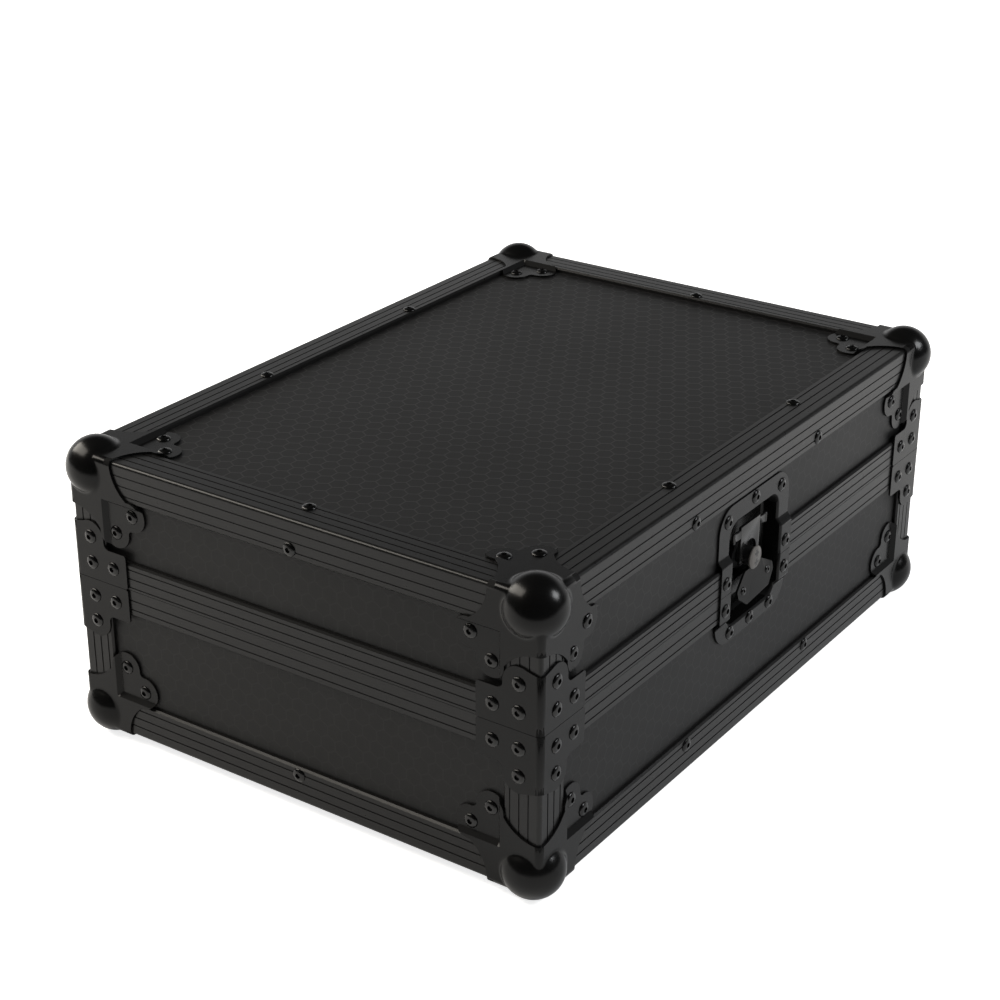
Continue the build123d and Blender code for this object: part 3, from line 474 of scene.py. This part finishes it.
softened = 0
for name, piece in nodes.items():
    for slot in piece.material_slots:
        slot.material = finish_for(name, slot)
    if any(word in name for word in ROUNDED) and not name.endswith("rivets"):
        soften(piece)
        softened += 1
print("solids dressed:", len(nodes), "and softened:", softened)

# %% [markdown]
# ## Pop rivets
#
# A pop rivet is a low dome with a hole where its nail broke off. In the solids each head is a plain
# cone. One dome is pulled up from a disc ring by ring, and a copy goes on the seat of every cone.
# The cones themselves say where the seats are, so no list of places has to be kept here, and the
# copies of one body are joined, because they move together.

# %% Select one piece, or nothing
def nothing_selected():
    if bpy.context.object and bpy.context.object.mode != "OBJECT":
        bpy.ops.object.mode_set(mode="OBJECT")
    bpy.ops.object.select_all(action="DESELECT")


def only(piece):
    nothing_selected()
    piece.select_set(True)
    bpy.context.view_layer.objects.active = piece


nothing_selected()
print("selected:", len(bpy.context.selected_objects))

# %% One rivet head
RIVET_RADIUS = 0.00475
RIVET_SIDES = 12
RIVET_CREASE = math.radians(50)
RIVET_RINGS = ((1.0, 0.0004), (0.92, 0.0008), (0.66, 0.0014), (0.38, 0.0016), (0.32, 0.0003))

bpy.ops.mesh.primitive_circle_add(vertices=RIVET_SIDES, radius=RIVET_RADIUS, fill_type="NGON")
rivet_head = bpy.context.object
rivet_head.name = "rivet_head"
bpy.ops.object.mode_set(mode="EDIT")
bpy.ops.mesh.select_all(action="SELECT")
reach, level = 1.0, 0.0
for ring_reach, ring_level in RIVET_RINGS:
    bpy.ops.mesh.extrude_region_move(TRANSFORM_OT_translate={"value": (0, 0, ring_level - level)})
    bpy.ops.transform.resize(value=(ring_reach / reach, ring_reach / reach, 1))
    reach, level = ring_reach, ring_level
bpy.ops.mesh.select_all(action="SELECT")
bpy.ops.mesh.normals_make_consistent(inside=False)
bpy.ops.object.mode_set(mode="OBJECT")
bpy.ops.object.shade_smooth_by_angle(angle=RIVET_CREASE)
print("faces in a rivet head:", len(rivet_head.data.polygons))


# %% The seats of the cones
def islands(mesh):
    """The separate shells of a bmesh, as lists of faces, in the same order on every run."""
    found = set()
    for first in mesh.faces:
        if first in found:
            continue
        found.add(first)
        shell = [first]
        # The list grows while it is walked, until no neighbour is new.
        for face in shell:
            for other in (other for side in face.edges for other in side.link_faces):
                if other not in found:
                    found.add(other)
                    shell.append(other)
        yield shell


def total_area(faces):
    return sum(face.calc_area() for face in faces)


def cone_seats(node):
    """For each cone of a node: a matrix on its base's middle, its Z out of the board."""
    mesh = bmesh.new()
    mesh.from_mesh(nodes[node].data)
    bmesh.ops.remove_doubles(mesh, verts=mesh.verts, dist=SAME_PLACE)
    seats = []
    for shell in islands(mesh):
        flats = {}
        for face in shell:
            flats.setdefault(tuple(round(n, 2) for n in face.normal), []).append(face)
        base = max(flats.values(), key=total_area)
        weighed = (face.calc_center_median() * face.calc_area() for face in base)
        middle = sum(weighed, Vector()) / total_area(base)
        turn = (-base[0].normal).to_track_quat("Z", "Y").to_matrix().to_4x4()
        seats.append(Matrix.Translation(middle) @ turn)
    mesh.free()
    return seats


print("seats on the base:", len(cone_seats("base_rivets")))

# %% A head on every seat
CATCH_RIVET_SIZE = 0.59


def rivet_group(name, node, body, size=1.0):
    nothing_selected()
    for seat in cone_seats(node):
        copy = rivet_head.copy()
        copy.data = rivet_head.data.copy()
        copy.data.transform(seat @ Matrix.Scale(size, 4))
        bpy.context.collection.objects.link(copy)
        copy.select_set(True)
        bpy.context.view_layer.objects.active = copy
    bpy.ops.object.join()
    group = bpy.context.object
    group.name = name
    group.data.materials.clear()
    group.data.materials.append(FINISHES["rivet"])
    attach(group, body)
    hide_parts(node)
    return group


rivet_groups = [
    rivet_group("base_pop_rivets", "base_rivets", "base"),
    rivet_group("lid_pop_rivets", "lid_rivets", "lid"),
    rivet_group("catch_pop_rivets", "latch_catch_rivets", "latch_catch", CATCH_RIVET_SIZE),
]
bpy.data.objects.remove(rivet_head)
print("faces of the rivet groups:", [len(group.data.polygons) for group in rivet_groups])

# %% [markdown]
# ## Latch boss
#
# The boss that turns the latch is a stepped pin: a disc on the pocket's floor, a neck, and a
# pale crowned head with two crossed slots. An outline could be spun round an axis; growing it
# out of one disc by inset, extrude and resize keeps every depth and radius in one short list. A
# short pin through its neck carries the folding wing. The slots are shallow, so they are left
# to the finish: a shallow bump, with their shade painted dark into the colour. The disc and the
# neck are painted dark as well, as painted shade under the head.

# %% Helpers for turned and pressed pieces
FACING_OUT = (math.radians(90), 0, 0)
LYING_ACROSS = (0, math.radians(90), 0)


def select_faces(piece, wanted):
    """Selects the faces whose middle and normal pass the test, in edit mode."""
    bpy.ops.mesh.select_all(action="DESELECT")
    mesh = bmesh.from_edit_mesh(piece.data)
    for face in mesh.faces:
        face.select_set(wanted(face.calc_center_median(), face.normal))
    bmesh.update_edit_mesh(piece.data)


def grown(steps, start_radius):
    """Extrudes the selected face outwards, step by step: how far, and the new radius."""
    radius = start_radius
    for out, new_radius in steps:
        bpy.ops.mesh.extrude_region_move(TRANSFORM_OT_translate={"value": (0, -out, 0)})
        bpy.ops.transform.resize(value=(new_radius / radius, 1, new_radius / radius))
        radius = new_radius


def placed(piece):
    """Moves the object's place and turn into its mesh and points its faces outwards."""
    bpy.ops.object.mode_set(mode="OBJECT")
    bpy.ops.object.transform_apply(location=True, rotation=True, scale=True)
    bpy.ops.object.mode_set(mode="EDIT")
    bpy.ops.mesh.select_all(action="SELECT")
    bpy.ops.mesh.normals_make_consistent(inside=False)
    bpy.ops.object.mode_set(mode="OBJECT")
    return piece


def cylinder(radius, length, middle, sides, turn=(0, 0, 0)):
    nothing_selected()
    bpy.ops.mesh.primitive_cylinder_add(
        vertices=sides, radius=radius, depth=length, location=middle, rotation=turn
    )
    return placed(bpy.context.object)


def dressed(piece, material, crease):
    """Smooth shading up to an angle between faces, and one material."""
    only(piece)
    bpy.ops.object.shade_smooth_by_angle(angle=crease)
    piece.data.materials.clear()
    piece.data.materials.append(material)


print("helpers ready")

# %% Turned boss
FRONT_FACE = -0.1795
BOSS_HEIGHT = 0.1283
BOSS_SIDES = 40
DISC_RADIUS = 0.0105
DISC_THICKNESS = 0.0022
DISC_DEPTH = 0.0126
NECK_RADIUS = 0.0065
# How far out each ring lies from the last one, and its radius: neck, head and crown.
BOSS_RINGS = (
    (0.0105, NECK_RADIUS),
    (0.0, 0.0074),
    (0.0003, 0.0079),
    (0.0008, 0.0079),
    (0.0004, 0.0074),
    (0.0005, 0.0045),
)
CROWN_INSET = 0.0030
CROWN_RISE = 0.0001

disc_middle = (0, FRONT_FACE + DISC_DEPTH, BOSS_HEIGHT)
turned_boss = cylinder(DISC_RADIUS, DISC_THICKNESS, disc_middle, BOSS_SIDES, FACING_OUT)
turned_boss.name = "turned_boss"
bpy.ops.object.mode_set(mode="EDIT")
select_faces(turned_boss, lambda middle, normal: normal.y < -0.9)
bpy.ops.mesh.inset(thickness=DISC_RADIUS - NECK_RADIUS)
grown(BOSS_RINGS, NECK_RADIUS)
bpy.ops.mesh.inset(thickness=CROWN_INSET)
bpy.ops.transform.translate(value=(0, -CROWN_RISE, 0))
bpy.ops.object.mode_set(mode="OBJECT")
print("faces of the boss:", len(turned_boss.data.polygons))

# %% Wing pin
WING_DEPTH = 0.0055
PIN_RADIUS = 0.00125
PIN_LENGTH = 0.0172
PIN_SIDES = 16
WING_MIDDLE = FRONT_FACE + WING_DEPTH

cylinder(PIN_RADIUS, PIN_LENGTH, (0, WING_MIDDLE, BOSS_HEIGHT), PIN_SIDES, LYING_ACROSS)
turned_boss.select_set(True)
bpy.context.view_layer.objects.active = turned_boss
bpy.ops.object.join()
placed(turned_boss)
print("faces with the pin:", len(turned_boss.data.polygons))

# %% Pale head, with neck and slots painted dark as shade
HEAD_STARTS = FRONT_FACE + 0.0012
SLOT_RISE = 0.0032
SLOT_LENGTH = 0.0025
SLOT_WIDTH = 0.0008
BOSS_CREASE = math.radians(35)


def boss_steel():
    """A pale head with crossed slots above and below the middle; neck and slots painted dark as
    shade.
    """
    finish = Finish("pale_boss_steel", Specular_IOR_Level=0.3)
    x, y, z = finish.place()
    # Painted shade: everything behind the head (disc, neck and pin) is coloured dark, as if in the
    # head's shadow.
    head = (y * -1.0).above(-HEAD_STARTS)
    high = abs(abs(z - BOSS_HEIGHT) - SLOT_RISE)
    wide = abs(x)
    upright = (1 - wide.above(SLOT_WIDTH)) * (1 - high.above(SLOT_LENGTH))
    level = (1 - high.above(SLOT_WIDTH)) * (1 - wide.above(SLOT_LENGTH))
    wear = finish.noise(420.0, 3.0)
    # Painted shade: the crossed slots are coloured dark for the shade in them; the bump gives their
    # relief.
    slot_and_shade = upright.at_least(level) * head
    pale = finish.blend(wear, grey(0.05, 0.08), grey(0.10, 0.08))
    finish.set(
        Base_Color=finish.blend(head * (1 - 0.95 * slot_and_shade), grey(0.008), pale),
        Roughness=0.30 + wear * 0.12,
    )
    finish.bump(wear * 0.3 - slot_and_shade, 0.0002)
    return finish.material


dressed(turned_boss, boss_steel(), BOSS_CREASE)
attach(turned_boss, "latch_turn")
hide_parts("latch_boss", "latch_wing_pin")
print("finish of the boss:", turned_boss.data.materials[0].name)

# %% [markdown]
# ## Folding wing
#
# The wing is a small pressed plate with a window for the boss and a wider grip bar whose ends are
# curled. One flat outline given a thickness would do for the plate, but not for the curls, which
# are rounder than the plate is thick. So plate, bar and curls are joined by Booleans, other
# Booleans cut the window, and a Bevel then gives all of it the soft edges that shine at the curls.

# %% Modifiers, blocks and Booleans
def finished(piece, kind, **settings):
    """Adds a modifier and applies it at once."""
    modifier = piece.modifiers.new(kind.lower(), kind)
    for key, value in settings.items():
        setattr(modifier, key, value)
    only(piece)
    bpy.ops.object.modifier_apply(modifier=modifier.name)


def rounded(piece, width, segments, angle=math.radians(30)):
    finished(
        piece, "BEVEL", width=width, segments=segments, limit_method="ANGLE", angle_limit=angle
    )


def block(half_width, thickness, low, high):
    """A block across the wing, from one height above the boss to another."""
    nothing_selected()
    middle = (0, WING_MIDDLE, BOSS_HEIGHT + (low + high) / 2)
    size = (2 * half_width, thickness, high - low)
    bpy.ops.mesh.primitive_cube_add(size=1.0, location=middle, scale=size)
    return placed(bpy.context.object)


def combined(piece, other, operation):
    finished(piece, "BOOLEAN", object=other, operation=operation, solver="EXACT")
    bpy.data.objects.remove(other)


print("wing lies", WING_DEPTH * 1000, "mm behind the front")

# %% Plate and bar
WING_HALF_WIDTH = 0.0125
WING_THICKNESS = 0.0020
WING_FOOT = -0.0022
WING_TOP = 0.0245
BAR_HALF_WIDTH = 0.0222
BAR_THICKNESS = 0.0019
BAR_LOW = 0.0163
BAR_HEIGHT = 0.0065
BAR_ROUND = 0.0024

folding_wing = block(WING_HALF_WIDTH, WING_THICKNESS, WING_FOOT, WING_TOP)
folding_wing.name = "folding_wing"
bar = block(BAR_HALF_WIDTH - 0.001, BAR_THICKNESS, BAR_LOW, BAR_LOW + BAR_HEIGHT)
rounded(bar, BAR_ROUND, 4)
combined(folding_wing, bar, "UNION")
print("faces of plate and bar:", len(folding_wing.data.polygons))

# %% Window for the boss
WINDOW_RADIUS = 0.0089
WINDOW_RISE = 0.0030
CUTTER_THICKNESS = 0.01
CUTTER_LOW = -0.006

window_middle = (0, WING_MIDDLE, BOSS_HEIGHT + WINDOW_RISE)
window = cylinder(WINDOW_RADIUS, CUTTER_THICKNESS, window_middle, BOSS_SIDES, FACING_OUT)
combined(folding_wing, window, "DIFFERENCE")
slot_below = block(WINDOW_RADIUS, CUTTER_THICKNESS, CUTTER_LOW, WINDOW_RISE)
combined(folding_wing, slot_below, "DIFFERENCE")
print("faces with the window:", len(folding_wing.data.polygons))

# %% Curled ends and soft edges
CURL_RADIUS = 0.0014
CURL_SIDES = 20
CURL_ROUND = 0.0009
CURL_INSET = 0.0012
WING_ROUND = 0.0003
WING_CREASE = math.radians(40)

curl_height = BOSS_HEIGHT + BAR_LOW + BAR_HEIGHT / 2
for side in (-1, 1):
    curl_middle = (side * (BAR_HALF_WIDTH - CURL_INSET), WING_MIDDLE, curl_height)
    curl = cylinder(CURL_RADIUS, BAR_HEIGHT + 0.001, curl_middle, CURL_SIDES)
    rounded(curl, CURL_ROUND, 4)
    combined(folding_wing, curl, "UNION")
rounded(folding_wing, WING_ROUND, 2, WING_CREASE)
dressed(folding_wing, FINISHES["wing_steel"], WING_CREASE)
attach(folding_wing, "latch_wing")
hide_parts("latch_wing")
print("faces of the wing:", len(folding_wing.data.polygons))

# %% [markdown]
# ## Foam lining
#
# Cut foam has flat faces but soft edges. A cloth simulation would swell it like a cushion, so each
# board of it is rebuilt from small cells instead and smoothed until its edges are round. That also
# draws it in a little, so that it stays clear of the wood.

# %% Foam pads
FOAM_CELL = 0.0045
FOAM_SMOOTHING = 0.6
FOAM_ROUNDS = 4
FOAM_PIECES = {
    "foam_floor_pad": ("floor_cushion", "base"),
    "foam_base_walls": ("base_wall_cushions", "base"),
    "foam_lid_pad": ("lid_cushion", "lid"),
    "foam_lid_walls": ("lid_wall_cushions", "lid"),
}


def foam_cushion(node, name, body):
    source = bmesh.new()
    source.from_mesh(nodes[node].data)
    bmesh.ops.remove_doubles(source, verts=source.verts, dist=SAME_PLACE)
    mesh = bpy.data.meshes.new(name)
    source.to_mesh(mesh)
    source.free()
    cushion = bpy.data.objects.new(name, mesh)
    bpy.context.collection.objects.link(cushion)
    finished(cushion, "REMESH", mode="VOXEL", voxel_size=FOAM_CELL)
    finished(cushion, "SMOOTH", factor=FOAM_SMOOTHING, iterations=FOAM_ROUNDS)
    only(cushion)
    bpy.ops.object.shade_smooth()
    cushion.data.materials.clear()
    cushion.data.materials.append(FINISHES["foam"])
    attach(cushion, body)
    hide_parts(node)
    print("faces of", name + ":", len(cushion.data.polygons))


for node, (name, body) in FOAM_PIECES.items():
    foam_cushion(node, name, body)
